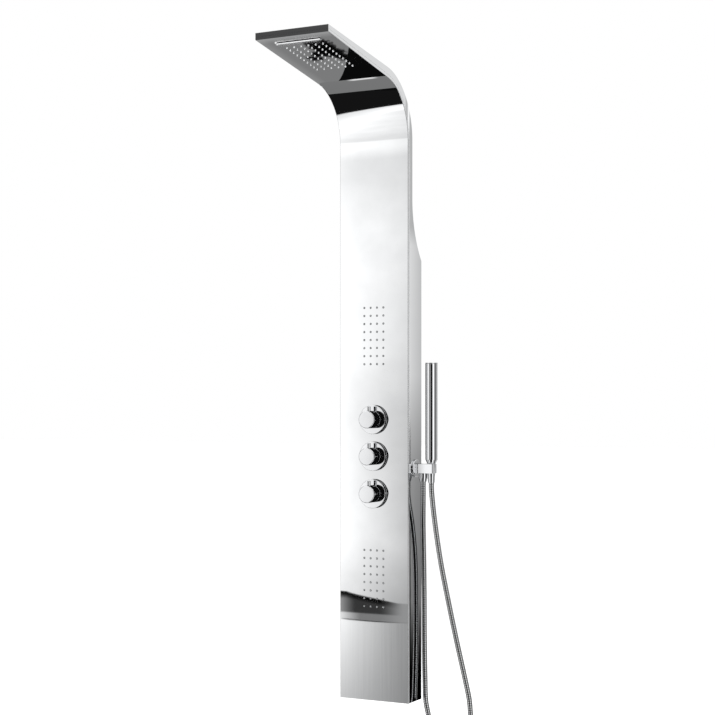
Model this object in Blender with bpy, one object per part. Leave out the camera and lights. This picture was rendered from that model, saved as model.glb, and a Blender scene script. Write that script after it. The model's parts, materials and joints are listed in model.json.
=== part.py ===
"""Rainfall shower column: a folded steel wall panel with a rain and waterfall head, two groups of
body jets, three valve knobs and a hand shower on a hose.

All shapes are drawn in the panel's own frame, in metres: X to the right, Y from the flat front face
(Y = 0) to the wall, Z up from the bottom edge. The empty panel_datum then moves that frame so that
the origin lies on the upper wall bracket's back face, with the wall plane at Y = 0.
"""

import math

import bmesh
import bpy
import numpy as np
from mathutils import Matrix, Vector

# Driving dimensions of the panel
WIDTH = 0.200
CASING_DEPTH = 0.080
SLIM_DEPTH = 0.025
NECK_START = 1.462
NECK_RADIUS = 0.142
HEAD_ANGLE = math.radians(81)
HEAD_FRONT = -0.432
LIP_TOP = 1.669
STEP_TOP = 1.310
FLARE_RADIUS = 0.252
SHEET = 0.0012
RETURN = 0.0070
CORNER = 0.0020
GAP = 0.0003

# Wall brackets: heights of their plates' middles above the bottom edge
HANG_HEIGHT = 1.070
LOWER_BRACKET_HEIGHT = 0.110

# Nozzles
NOZZLE_SIDES = 6
NUB_RADIUS = 0.0021
NUB_TIP_RADIUS = 0.0015
NUB_REACH = 0.0022
HOLE_RADIUS = 0.0025
RAIN_COLUMNS = 6
RAIN_ROWS = 10
RAIN_COLUMN_PITCH = 0.020
RAIN_ROW_PITCH = 0.0171
RAIN_CENTRE = 0.1428
JET_COLUMNS = 4
JET_ROWS = 8
JET_COLUMN_PITCH = 0.0186
JET_ROW_PITCH = 0.0211
UPPER_JETS = 0.955
LOWER_JETS = 0.3195

# Waterfall slot, measured along the head from its front edge
SPOUT_CENTRE = 0.0354
SPOUT_LENGTH = 0.122
SPOUT_WIDTH = 0.0074

# Valve stations
STATIONS = {"diverter": 0.736, "flow": 0.640, "temperature": 0.542}
ESCUTCHEON_RADIUS = 0.038
ESCUTCHEON_DEPTH = 0.0095
KNOB_RADIUS = 0.0225
KNOB_FRONT = -0.0435
LEVER_DEPTH = -0.0280
LEVER_RADIUS = 0.0043
LEVER_TOP = 0.0344
VALVE_HOLE_RADIUS = 0.0190
CARTRIDGE_RADIUS = 0.0130
SPINDLE_RADIUS = 0.0040
MANIFOLD_FRONT = 0.0155
MANIFOLD_BACK = 0.0620

# Hand shower: the holder's height and the axes of the handset and of the outlet
HOLDER_HEIGHT = 0.6085
HOLDER_THICKNESS = 0.0240
HOLDER_RADIUS = 0.0140
HANDSET_X = 0.1460
HANDSET_Y = 0.0440
OUTLET_X = 0.1225
HANDLE_RADIUS = 0.0160
HANDLE_TOP = 0.8840
SPRAY_DIRECTION = math.radians(135)
HOSE_RADIUS = 0.0070
HOSE_SPACING = 0.030

# Finishes: colour, roughness, metallic
FINISHES = {
    "mirror_steel": ((0.80, 0.81, 0.82), 0.06, 1.0),
    "chrome": ((0.84, 0.85, 0.86), 0.05, 1.0),
    "brass": ((0.72, 0.52, 0.24), 0.30, 1.0),
    "copper": ((0.80, 0.45, 0.30), 0.30, 1.0),
    "zinc": ((0.62, 0.63, 0.64), 0.45, 1.0),
    "silicone": ((0.80, 0.80, 0.80), 0.50, 0.0),
    "plastic": ((0.12, 0.12, 0.13), 0.45, 0.0),
}


# Meshes

def mesh_from(bm):
    """A closed mesh with its faces pointing out."""
    bmesh.ops.recalc_face_normals(bm, faces=bm.faces)
    mesh = bpy.data.meshes.new("shape")
    bm.to_mesh(mesh)
    bm.free()
    return mesh


def axis_point(along, a, b, c):
    """The point at (a, b) across the axis and c along it."""
    return {"X": (c, a, b), "Y": (a, c, b), "Z": (a, b, c)}[along]


def prism(outline, start, end, along):
    """A straight extrusion of a flat outline along one axis."""
    bm = bmesh.new()
    near = [bm.verts.new(axis_point(along, a, b, start)) for a, b in outline]
    far = [bm.verts.new(axis_point(along, a, b, end)) for a, b in outline]
    bm.faces.new(near)
    bm.faces.new(far)
    for i in range(len(outline)):
        j = (i + 1) % len(outline)
        bm.faces.new((near[i], near[j], far[j], far[i]))
    return mesh_from(bm)


def box(low, high):
    """A box between two corners."""
    outline = [(low[0], low[1]), (high[0], low[1]), (high[0], high[1]), (low[0], high[1])]
    return prism(outline, low[2], high[2], "Z")


def turned(profile, along, segments, centre=(0.0, 0.0), middle=0.0, sweep=2 * math.pi):
    """A closed (radius, height) profile turned about an axis, all the way round or through a sector."""
    bm = bmesh.new()
    whole = sweep > 2 * math.pi - 1e-6
    steps = segments if whole else segments + 1
    rings = []
    for radius, height in profile:
        angles = [middle - sweep / 2 + sweep * k / segments for k in range(steps)]
        if radius == 0:
            angles = angles[:1]
        rings.append([
            bm.verts.new(axis_point(
                along, centre[0] + radius * math.cos(t), centre[1] + radius * math.sin(t), height))
            for t in angles
        ])
    for ring, following in zip(rings, rings[1:] + rings[:1]):
        for k in range(segments):
            k2 = (k + 1) % steps
            corners = [ring[k % len(ring)], ring[k2 % len(ring)],
                       following[k2 % len(following)], following[k % len(following)]]
            corners = list(dict.fromkeys(corners))
            if len(corners) > 2:
                bm.faces.new(corners)
    if not whole:
        bm.faces.new([ring[0] for ring in rings])
        bm.faces.new([ring[-1] for ring in rings])
    return mesh_from(bm)


def disc(radius, low, high, along, segments, centre=(0.0, 0.0)):
    """A solid cylinder."""
    outline = [(centre[0] + radius * math.cos(2 * math.pi * (k + 0.5) / segments),
                centre[1] + radius * math.sin(2 * math.pi * (k + 0.5) / segments))
               for k in range(segments)]
    return prism(outline, low, high, along)


def rounded_rectangle(half_a, half_b, radius, steps=4, centre=(0.0, 0.0)):
    """The outline of a rectangle with round corners."""
    corners = [(1, 1, 0.0), (-1, 1, 0.5), (-1, -1, 1.0), (1, -1, 1.5)]
    outline = []
    for side_a, side_b, turn in corners:
        for k in range(steps + 1):
            t = math.pi * (turn + 0.5 * k / steps)
            outline.append((centre[0] + side_a * (half_a - radius) + radius * math.cos(t),
                            centre[1] + side_b * (half_b - radius) + radius * math.sin(t)))
    return outline


def together(meshes):
    """Several closed shapes in one mesh, for use as one cutter."""
    bm = bmesh.new()
    for mesh in meshes:
        bm.from_mesh(mesh)
    mesh = bpy.data.meshes.new("shapes")
    bm.to_mesh(mesh)
    bm.free()
    return mesh


def combined(mesh, tool, operation):
    """The Boolean of two meshes."""
    base = bpy.data.objects.new("base", mesh)
    other = bpy.data.objects.new("tool", tool)
    for obj in (base, other):
        bpy.context.scene.collection.objects.link(obj)
    modifier = base.modifiers.new("boolean", "BOOLEAN")
    modifier.operation = operation
    modifier.object = other
    depsgraph = bpy.context.evaluated_depsgraph_get()
    result = bpy.data.meshes.new_from_object(base.evaluated_get(depsgraph))
    bpy.data.objects.remove(base)
    bpy.data.objects.remove(other)
    return result


def without(mesh, *tools):
    """A mesh with other shapes cut out of it, one after the other."""
    for tool in tools:
        mesh = combined(mesh, tool, "DIFFERENCE")
    return mesh


# Objects

def finish_material(name, finish):
    """The sub-part's own material."""
    colour, roughness, metallic = FINISHES[finish]
    material = bpy.data.materials.new(f"{name}_{finish}")
    material.use_nodes = True
    shader = material.node_tree.nodes["Principled BSDF"]
    shader.inputs["Base Color"].default_value = (*colour, 1.0)
    shader.inputs["Roughness"].default_value = roughness
    shader.inputs["Metallic"].default_value = metallic
    return material


def add_part(name, data, finish, parent, smooth=False):
    """One named sub-part, in its parent's frame."""
    data.materials.append(finish_material(name, finish))
    obj = bpy.data.objects.new(name, data)
    bpy.context.scene.collection.objects.link(obj)
    obj.parent = parent
    if smooth:
        data.shade_smooth()
        data.set_sharp_from_angle(angle=math.radians(35))
    return obj


def add_datum(name, location, parent=None, tilt=0.0):
    """An empty that carries a frame or a joint's axis."""
    empty = bpy.data.objects.new(name, None)
    empty.location = location
    empty.rotation_euler = (tilt, 0.0, 0.0)
    bpy.context.scene.collection.objects.link(empty)
    empty.parent = parent
    return empty


def smooth_route(points, spacing):
    """Points at even spacing on a centripetal Catmull-Rom curve through a route's own points."""
    route = [Vector(p) for p in points]
    route = [2 * route[0] - route[1], *route, 2 * route[-1] - route[-2]]
    dense = []
    for p0, p1, p2, p3 in zip(route, route[1:], route[2:], route[3:]):
        t1 = math.sqrt((p1 - p0).length)
        t2 = t1 + math.sqrt((p2 - p1).length)
        t3 = t2 + math.sqrt((p3 - p2).length)
        for k in range(24):
            t = t1 + (t2 - t1) * k / 24
            a1 = p0.lerp(p1, t / t1)
            a2 = p1.lerp(p2, (t - t1) / (t2 - t1))
            a3 = p2.lerp(p3, (t - t2) / (t3 - t2))
            b1 = a1.lerp(a2, t / t2)
            b2 = a2.lerp(a3, (t - t1) / (t3 - t1))
            dense.append(b1.lerp(b2, (t - t1) / (t2 - t1)))
    dense.append(route[-2])
    line = np.array(dense)
    travelled = np.concatenate(([0.0], np.cumsum(np.linalg.norm(np.diff(line, axis=0), axis=1))))
    stops = np.linspace(0.0, travelled[-1], max(2, round(travelled[-1] / spacing)) + 1)
    return [Vector(np.interp(s, travelled, line[:, axis]) for axis in range(3)) for s in stops]


def bends_only(points, least_turn=math.radians(1.5)):
    """The points where a line bends, and its ends."""
    kept = [points[0]]
    for point, following in zip(points[1:], points[2:]):
        if (point - kept[-1]).angle(following - point) > least_turn:
            kept.append(point)
    return [*kept, points[-1]]


def add_tube(name, points, radius, finish, parent):
    """A round tube along a line."""
    curve = bpy.data.curves.new(name, "CURVE")
    curve.dimensions = "3D"
    curve.bevel_depth = radius
    curve.bevel_resolution = 2
    curve.use_fill_caps = True
    spline = curve.splines.new("POLY")
    spline.points.add(len(points) - 1)
    for spline_point, point in zip(spline.points, points):
        spline_point.co = (*point, 1.0)
    return add_part(name, curve, finish, parent)


def add_pipe(name, route, radius, finish, parent):
    """A bent metal pipe: a straight stub at each end, and a smooth line through the points between."""
    line = [Vector(route[0]), *smooth_route(route[1:-1], 0.012), Vector(route[-1])]
    return add_tube(name, bends_only(line), radius, finish, parent)


# Side views of the panel, as (Y, Z) outlines

def front_line(offset, base=0.0, front=HEAD_FRONT):
    """The front face moved into the panel by offset, from the bottom edge round to the head's lip."""
    steps = 14
    points = [(offset, base)]
    for k in range(steps + 1):
        t = HEAD_ANGLE * k / steps
        points.append((-NECK_RADIUS + (NECK_RADIUS + offset) * math.cos(t),
                       NECK_START + (NECK_RADIUS + offset) * math.sin(t)))
    end_y, end_z = points[-1]
    reach = (end_y - front) / math.sin(HEAD_ANGLE)
    points.append((front, end_z + reach * math.cos(HEAD_ANGLE)))
    return points


def top_angle():
    """Where the straight top of the head is tangent to the neck's outer arc."""
    across = HEAD_FRONT + NECK_RADIUS
    up = LIP_TOP - NECK_START
    lean = math.atan2(-across, up)
    return lean + math.asin((NECK_RADIUS + SLIM_DEPTH) / math.hypot(across, up))


def back_line(inset, base=0.0, front=HEAD_FRONT):
    """The back moved into the panel by inset, from the lip's top edge round to the bottom edge."""
    steps = 14
    angle = top_angle()
    radius = NECK_RADIUS + SLIM_DEPTH - inset
    arc = [(-NECK_RADIUS + radius * math.cos(angle * k / steps),
            NECK_START + radius * math.sin(angle * k / steps)) for k in range(steps, -1, -1)]
    reach = (arc[0][0] - front) / math.sin(angle)
    points = [(front, arc[0][1] + reach * math.cos(angle)), *arc]
    flare = FLARE_RADIUS + inset
    flare_centre = SLIM_DEPTH + FLARE_RADIUS
    last = math.acos((flare_centre - CASING_DEPTH + inset) / flare)
    for k in range(9):
        t = last * k / 8
        points.append((flare_centre - flare * math.cos(t), STEP_TOP - flare * math.sin(t)))
    points.append((CASING_DEPTH - inset, base))
    return points


def head_edge():
    """The lip's lower edge, where the head's own frame starts."""
    y, z = front_line(0.0)[-1]
    return Vector((0.0, y, z))


def head_matrix():
    """From the head's frame (X, back along the underside, up into the head) to the panel's frame."""
    return Matrix.Translation(head_edge()) @ Matrix.Rotation(HEAD_ANGLE - math.pi / 2, 4, "X")


# Nozzle patterns

def pattern(columns, rows, column_pitch, row_pitch, row_centre):
    """The centres of a rectangular pattern of nozzles."""
    return [((c - (columns - 1) / 2) * column_pitch, row_centre + (r - (rows - 1) / 2) * row_pitch)
            for c in range(columns) for r in range(rows)]


def rain_pattern():
    return pattern(RAIN_COLUMNS, RAIN_ROWS, RAIN_COLUMN_PITCH, RAIN_ROW_PITCH, RAIN_CENTRE)


def jet_pattern(height):
    return pattern(JET_COLUMNS, JET_ROWS, JET_COLUMN_PITCH, JET_ROW_PITCH, height)


def nub(centre, out, along):
    """One nozzle: a short tapered nub that starts inside the mat. out is the way it points."""
    root = SHEET + GAP + 0.0007
    profile = [(0.0, -root * out), (NUB_RADIUS, -root * out), (NUB_TIP_RADIUS, NUB_REACH * out),
               (0.0, NUB_REACH * out)]
    return turned(profile, along, NOZZLE_SIDES, centre, middle=math.pi / NOZZLE_SIDES)


def nozzle_mat(centres, half_width, half_length, middle, out, along):
    """A thin mat just behind the sheet, with a nub through each hole."""
    near, far = SHEET + GAP, SHEET + GAP + 0.0015
    outline = rounded_rectangle(half_width, half_length, 0.004, 2, (0.0, middle))
    plate = prism(outline, -near * out, -far * out, along)
    nubs = together([nub(centre, out, along) for centre in centres])
    return combined(plate, nubs, "UNION")


def water_box(low, high, wall, open_axis):
    """A box open on its low side along one axis."""
    inner_low = [v + wall for v in low]
    inner_high = [v - wall for v in high]
    inner_low[open_axis] = low[open_axis] - wall
    return without(box(low, high), box(inner_low, inner_high))


# The panel's shell

def add_front_panel(panel):
    """The folded front sheet, with its returns, nozzle holes, valve holes and waterfall slot."""
    half = WIDTH / 2
    outline = front_line(0.0) + front_line(RETURN)[::-1]
    bm = bmesh.new()
    bm.from_mesh(prism(outline, -half, half, "X"))
    face = {(round(y, 5), round(z, 5)) for y, z in front_line(0.0)}
    edges = [edge for edge in bm.edges
             if all((round(v.co.y, 5), round(v.co.z, 5)) in face for v in edge.verts)
             and abs(edge.verts[0].co.x - edge.verts[1].co.x) < 1e-6]
    bmesh.ops.bevel(bm, geom=edges, offset=CORNER, segments=2, profile=0.5, affect="EDGES")
    sheet = mesh_from(bm)
    inside = (front_line(SHEET, SHEET, HEAD_FRONT + SHEET)
              + front_line(RETURN + 0.004, SHEET, HEAD_FRONT + SHEET)[::-1])
    tray = without(sheet, prism(inside, -half + SHEET, half - SHEET, "X"))
    rain_holes = together([disc(HOLE_RADIUS, -0.002, 0.004, "Z", NOZZLE_SIDES, c)
                           for c in rain_pattern()])
    slot = prism(rounded_rectangle(SPOUT_LENGTH / 2 + GAP, SPOUT_WIDTH / 2 + GAP, 0.002, 2,
                                   (0.0, SPOUT_CENTRE)), -0.002, 0.004, "Z")
    for cutter in (rain_holes, slot):
        cutter.transform(head_matrix())
    jets = together([disc(HOLE_RADIUS, -0.003, 0.003, "Y", NOZZLE_SIDES, c)
                     for height in (UPPER_JETS, LOWER_JETS) for c in jet_pattern(height)])
    valves = together([disc(VALVE_HOLE_RADIUS, -0.003, 0.003, "Y", 24, (0.0, height))
                       for height in STATIONS.values()])
    add_part("front_panel", without(tray, rain_holes, slot, jets, valves),
             "mirror_steel", panel, smooth=True)


def add_rear_casing(panel):
    """Side walls, neck back, flared step and deep lower box, open at the front and to the wall."""
    half = WIDTH / 2
    outer = prism(front_line(RETURN + GAP) + back_line(0.0), -half, half, "X")
    inside = (front_line(0.004, SHEET, HEAD_FRONT + SHEET)
              + back_line(SHEET, SHEET, HEAD_FRONT + SHEET))
    inner = prism(inside, -half + SHEET, half - SHEET, "X")
    wall_opening = box((-half + 0.012, 0.070, 0.012), (half - 0.012, 0.090, 1.135))
    tail_hole = disc(0.0105, half - 0.005, half + 0.005, "X", 20, (HANDSET_Y, HOLDER_HEIGHT))
    add_part("rear_casing", without(outer, inner, wall_opening, tail_hole),
             "mirror_steel", panel, smooth=True)


# Water boxes, mats and the spout

def add_head_parts(panel):
    """Rain mat and box, waterfall spout and box, in the head's own frame."""
    head = add_datum("head_datum", head_edge(), panel, HEAD_ANGLE - math.pi / 2)
    half_rows = RAIN_ROW_PITCH * (RAIN_ROWS - 1) / 2
    mat = nozzle_mat(rain_pattern(), 0.0585, half_rows + 0.0095, RAIN_CENTRE, -1, "Z")
    add_part("rain_nozzle_mat", mat, "silicone", head)
    ends = (RAIN_CENTRE - half_rows - 0.013, RAIN_CENTRE + half_rows + 0.013)
    chamber = water_box((-0.062, ends[0], 0.0033), (0.062, ends[1], 0.0145), 0.0015, 2)
    add_part("rain_chamber", chamber, "zinc", head)
    frame = prism(rounded_rectangle(SPOUT_LENGTH / 2, SPOUT_WIDTH / 2, 0.002, 3, (0.0, SPOUT_CENTRE)),
                  -0.0022, 0.0040, "Z")
    slot = prism(rounded_rectangle(SPOUT_LENGTH / 2 - 0.002, SPOUT_WIDTH / 2 - 0.002, 0.0015, 3,
                                   (0.0, SPOUT_CENTRE)), -0.010, 0.010, "Z")
    add_part("waterfall_spout", without(frame, slot), "chrome", head, smooth=True)
    reach = 0.0139
    add_part("waterfall_chamber",
             water_box((-0.064, SPOUT_CENTRE - reach, 0.0043), (0.064, SPOUT_CENTRE + reach, 0.0135),
                       0.0015, 2), "zinc", head)


def add_jets(name, height, panel):
    """One group of body jets: the mat behind the sheet and its water box."""
    half_rows = JET_ROW_PITCH * (JET_ROWS - 1) / 2
    mat = nozzle_mat(jet_pattern(height), 0.0345, half_rows + 0.0085, height, -1, "Y")
    add_part(f"{name}_jet_mat", mat, "silicone", panel)
    reach = half_rows + 0.0125
    chamber = water_box((-0.038, 0.0033, height - reach), (0.038, 0.0160, height + reach), 0.0020, 1)
    add_part(f"{name}_jet_chamber", chamber, "plastic", panel)


# Valves

def add_manifold(panel):
    """The brass casting that holds the three cartridges."""
    outline = rounded_rectangle(0.024, (MANIFOLD_BACK - MANIFOLD_FRONT) / 2, 0.008, 3,
                                (0.0, (MANIFOLD_BACK + MANIFOLD_FRONT) / 2))
    bores = together([disc(CARTRIDGE_RADIUS + GAP, 0.010, 0.0403, "Y", 20, (0.0, height))
                      for height in STATIONS.values()])
    add_part("valve_manifold", without(prism(outline, 0.500, 0.778, "Z"), bores), "brass", panel)


def add_valve_station(name, height, panel):
    """One valve: cartridge, nut and escutcheon, and the knob, lever and spindle that turn."""
    axis = add_datum(f"{name}_axis", (0.0, 0.0, height), panel)
    bore = SPINDLE_RADIUS + GAP
    face = -ESCUTCHEON_DEPTH
    cartridge = [(0.0, 0.0400), (CARTRIDGE_RADIUS, 0.0400), (CARTRIDGE_RADIUS, -0.0100),
                 (bore, -0.0100), (bore, 0.0100), (0.0, 0.0100)]
    add_part(f"{name}_cartridge", turned(cartridge, "Y", 20), "plastic", axis, smooth=True)
    nut = without(disc(0.0184, -0.0080, MANIFOLD_FRONT - GAP, "Y", 6),
                  disc(CARTRIDGE_RADIUS + GAP, -0.020, 0.030, "Y", 20))
    add_part(f"{name}_bonnet_nut", nut, "brass", axis)
    escutcheon = [(VALVE_HOLE_RADIUS, -GAP), (ESCUTCHEON_RADIUS, -GAP),
                  (ESCUTCHEON_RADIUS, face + 0.0010), (ESCUTCHEON_RADIUS - 0.0010, face),
                  (VALVE_HOLE_RADIUS, face)]
    add_part(f"{name}_escutcheon", turned(escutcheon, "Y", 28), "chrome", axis, smooth=True)
    spindle = [(0.0, -0.0322), (SPINDLE_RADIUS, -0.0322), (SPINDLE_RADIUS, 0.0097), (0.0, 0.0097)]
    add_part(f"{name}_spindle", turned(spindle, "Y", 12), "brass", axis, smooth=True)
    rear = face - 0.0010
    knob = [(0.0, KNOB_FRONT), (KNOB_RADIUS - 0.0010, KNOB_FRONT), (KNOB_RADIUS, KNOB_FRONT + 0.0010),
            (KNOB_RADIUS, rear), (0.0185, rear), (0.0185, rear - 0.0080),
            (bore, rear - 0.0080), (bore, -0.0325), (0.0, -0.0325)]
    socket = disc(LEVER_RADIUS + GAP, 0.0165, 0.0300, "Z", 12, (0.0, LEVER_DEPTH))
    add_part(f"{name}_knob", without(turned(knob, "Y", 24), socket), "chrome", axis, smooth=True)
    lever = [(0.0, 0.0168), (LEVER_RADIUS, 0.0168), (LEVER_RADIUS, LEVER_TOP - 0.0006),
             (LEVER_RADIUS - 0.0006, LEVER_TOP), (0.0, LEVER_TOP)]
    add_part(f"{name}_lever", turned(lever, "Z", 12, (0.0, LEVER_DEPTH)), "chrome", axis, smooth=True)


# Water ways

def add_water_pipes(panel):
    """The pipes from the manifold to the head, the jets and the hand shower's outlet."""
    head = head_matrix()
    middle = (SHEET + SLIM_DEPTH) / 2 - 0.0005
    neck = front_line(middle)

    def up_the_neck(x):
        return [(x, y, z) for y, z in neck[1:-1:2]]

    box_end = RAIN_CENTRE + RAIN_ROW_PITCH * (RAIN_ROWS - 1) / 2 + 0.013
    rain = [(0.012, 0.047, 0.7783), (0.012, 0.047, 0.84), (0.012, 0.047, 0.98), (0.012, 0.040, 1.10),
            (0.012, 0.024, 1.20), (0.012, 0.0145, 1.28), (0.012, middle, 1.36), *up_the_neck(0.012),
            head @ Vector((0.012, box_end + 0.035, 0.0105)),
            head @ Vector((0.012, box_end + 0.018, 0.009)),
            head @ Vector((0.012, box_end + GAP, 0.009))]
    add_pipe("rain_pipe", rain, 0.0055, "copper", panel)
    side = -0.082
    waterfall = [(-0.012, 0.047, 0.7783), (-0.012, 0.047, 0.82), (-0.030, 0.047, 0.89),
                 (-0.065, 0.047, 0.98), (-0.080, 0.042, 1.08), (side, 0.026, 1.19),
                 (side, 0.0145, 1.28), (side, middle, 1.36), *up_the_neck(side),
                 head @ Vector((side, 0.230, 0.010)), head @ Vector((side, 0.120, 0.009)),
                 head @ Vector((side, 0.065, 0.009)), head @ Vector((-0.0800, 0.0465, 0.009)),
                 head @ Vector((-0.0750, 0.0375, 0.009)), head @ Vector((-0.0700, SPOUT_CENTRE, 0.009)),
                 head @ Vector((-0.0643, SPOUT_CENTRE, 0.009))]
    add_pipe("waterfall_pipe", waterfall, 0.0040, "copper", panel)
    half_rows = JET_ROW_PITCH * (JET_ROWS - 1) / 2 + 0.0125 + GAP
    upper = [(0.0, 0.027, 0.7783), (0.0, 0.027, 0.795), (0.0, 0.024, 0.815), (0.0, 0.0125, 0.840),
             (0.0, 0.0097, 0.855), (0.0, 0.0097, UPPER_JETS - half_rows)]
    add_pipe("upper_jet_pipe", upper, 0.0050, "copper", panel)
    lower = [(-0.0243, 0.030, 0.700), (-0.034, 0.030, 0.700), (-0.046, 0.027, 0.688),
             (-0.052, 0.022, 0.660), (-0.052, 0.018, 0.580), (-0.050, 0.014, 0.500),
             (-0.038, 0.011, 0.460), (-0.024, 0.0097, 0.436), (-0.020, 0.0097, 0.420),
             (-0.020, 0.0097, LOWER_JETS + half_rows)]
    add_pipe("lower_jet_pipe", lower, 0.0050, "copper", panel)
    hand = [(0.0243, 0.040, 0.700), (0.034, 0.040, 0.700), (0.046, 0.041, 0.691),
            (0.051, 0.042, 0.670), (0.053, 0.043, 0.640), (0.058, HANDSET_Y, 0.6180),
            (0.069, HANDSET_Y, HOLDER_HEIGHT), (0.0797, HANDSET_Y, HOLDER_HEIGHT)]
    add_pipe("hand_shower_pipe", hand, 0.0050, "copper", panel)


def add_inlets(panel):
    """Hot and cold tails from the manifold to the wall, each with its union nut."""
    height = STATIONS["temperature"]
    for name, side in (("hot", -1), ("cold", 1)):
        route = [(side * 0.0243, 0.040, height), (side * 0.038, 0.040, height),
                 (side * 0.052, 0.042, height), (side * 0.059, 0.050, height),
                 (side * 0.060, 0.062, height), (side * 0.060, 0.0740, height)]
        add_pipe(f"{name}_inlet_pipe", route, 0.0070, "copper", panel)
        centre = (side * 0.060, height)
        nut = without(disc(0.0150, 0.0640, 0.0795, "Y", 6, centre),
                      disc(0.0074, 0.0500, 0.0900, "Y", 20, centre))
        add_part(f"{name}_inlet_nut", nut, "brass", panel)


# Hand shower

def add_holder(panel):
    """The flange, the C-shaped arm and the threaded tail that carries water through the casing."""
    wall = WIDTH / 2
    axis = (HANDSET_Y, HOLDER_HEIGHT)
    flange = [(0.0103, wall + GAP), (0.0230, wall + GAP), (0.0230, wall + 0.0035),
              (0.0222, wall + 0.0043), (0.0103, wall + 0.0043)]
    add_part("holder_flange", turned(flange, "X", 24, axis), "chrome", panel, smooth=True)
    tail = [(0.0065, 0.0800), (0.0100, 0.0800), (0.0100, wall + 0.0043), (0.0065, wall + 0.0043)]
    add_part("holder_tail", turned(tail, "X", 20, axis), "brass", panel, smooth=True)
    locknut = without(disc(0.0155, 0.0905, wall - SHEET - GAP, "X", 6, axis),
                      disc(0.0103, 0.080, 0.110, "X", 20, axis))
    add_part("holder_locknut", locknut, "brass", panel)
    low = HOLDER_HEIGHT - HOLDER_THICKNESS / 2
    high = HOLDER_HEIGHT + HOLDER_THICKNESS / 2
    round_end = [(HANDSET_X + HOLDER_RADIUS * math.cos(t), HANDSET_Y + HOLDER_RADIUS * math.sin(t))
                 for t in (math.pi * (k / 12 - 0.5) for k in range(13))]
    outline = [(wall + 0.0046, HANDSET_Y + HOLDER_RADIUS), (wall + 0.0046, HANDSET_Y - HOLDER_RADIUS),
               *round_end]
    nipple = disc(0.0095, low - 0.0075, low + 0.002, "Z", 20, (OUTLET_X, HANDSET_Y))
    block = combined(prism(outline, low, high, "Z"), nipple, "UNION")
    socket = turned([(0.0, low - 0.001), (0.0101, low - 0.001), (0.0114, high + 0.001),
                     (0.0, high + 0.001)], "Z", 24, (HANDSET_X, HANDSET_Y))
    mouth = box((HANDSET_X, HANDSET_Y - 0.0078, low - 0.001),
                (HANDSET_X + 0.030, HANDSET_Y + 0.0078, high + 0.001))
    add_part("holder_arm", without(block, socket, mouth), "chrome", panel, smooth=True)


def add_hose_ends(panel, hose_end, handset):
    """The nuts and crimped ferrules at both ends of the hose."""
    outlet = (OUTLET_X, HANDSET_Y)
    top = HOLDER_HEIGHT - HOLDER_THICKNESS / 2 - GAP
    nut = [(0.0078, 0.5740), (0.0088, 0.5740), (0.0115, 0.5830), (0.0115, top), (0.0098, top),
           (0.0098, 0.5860), (0.0078, 0.5860)]
    add_part("outlet_nut", turned(nut, "Z", 20, outlet), "chrome", panel, smooth=True)
    ferrule = [(0.0045, 0.5740), (0.0075, 0.5740), (0.0075, 0.5857), (0.0045, 0.5857)]
    add_part("outlet_ferrule", turned(ferrule, "Z", 16, outlet), "chrome", panel, smooth=True)
    cone = [(0.0078, 0.5720), (0.0086, 0.5720), (0.0110, 0.6215), (0.0098, 0.6215),
            (0.0098, 0.5905), (0.0078, 0.5905)]
    add_part("hose_cone_nut", turned(cone, "Z", 24), "chrome", handset, smooth=True)
    ferrule = [(0.0045, 0.5720), (0.0075, 0.5720), (0.0075, 0.5900), (0.0045, 0.5900)]
    add_part("handset_ferrule", turned(ferrule, "Z", 16), "chrome", hose_end, smooth=True)


def add_handset(handset):
    """The slim handle with its spray insert and end cap, upright in the holder."""
    shoulder = HANDLE_TOP - 0.0025
    handle = [(0.0050, 0.5935), (0.0094, 0.5935), (0.0094, 0.6218), (0.0112, 0.6218),
              (HANDLE_RADIUS, 0.6320), (HANDLE_RADIUS, shoulder), (0.0135, shoulder),
              (0.0135, 0.6440), (0.0050, 0.6380)]
    window = box((0.010, -0.0090, 0.7650), (0.020, 0.0090, 0.8680))
    window.transform(Matrix.Rotation(SPRAY_DIRECTION, 4, "Z"))
    add_part("hand_shower_handle", without(turned(handle, "Z", 24), window), "chrome", handset, smooth=True)
    insert = [(0.0138, 0.7655), (0.0158, 0.7655), (0.0158, 0.8675), (0.0138, 0.8675)]
    face = turned(insert, "Z", 8, middle=SPRAY_DIRECTION, sweep=math.radians(66))
    add_part("hand_shower_spray_face", face, "plastic", handset, smooth=True)
    cap = [(0.0, 0.8740), (0.0132, 0.8740), (0.0132, shoulder + GAP), (HANDLE_RADIUS, shoulder + GAP),
           (HANDLE_RADIUS, HANDLE_TOP - 0.0008), (HANDLE_RADIUS - 0.0008, HANDLE_TOP), (0.0, HANDLE_TOP)]
    add_part("hand_shower_end_cap", turned(cap, "Z", 24), "chrome", handset, smooth=True)


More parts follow.
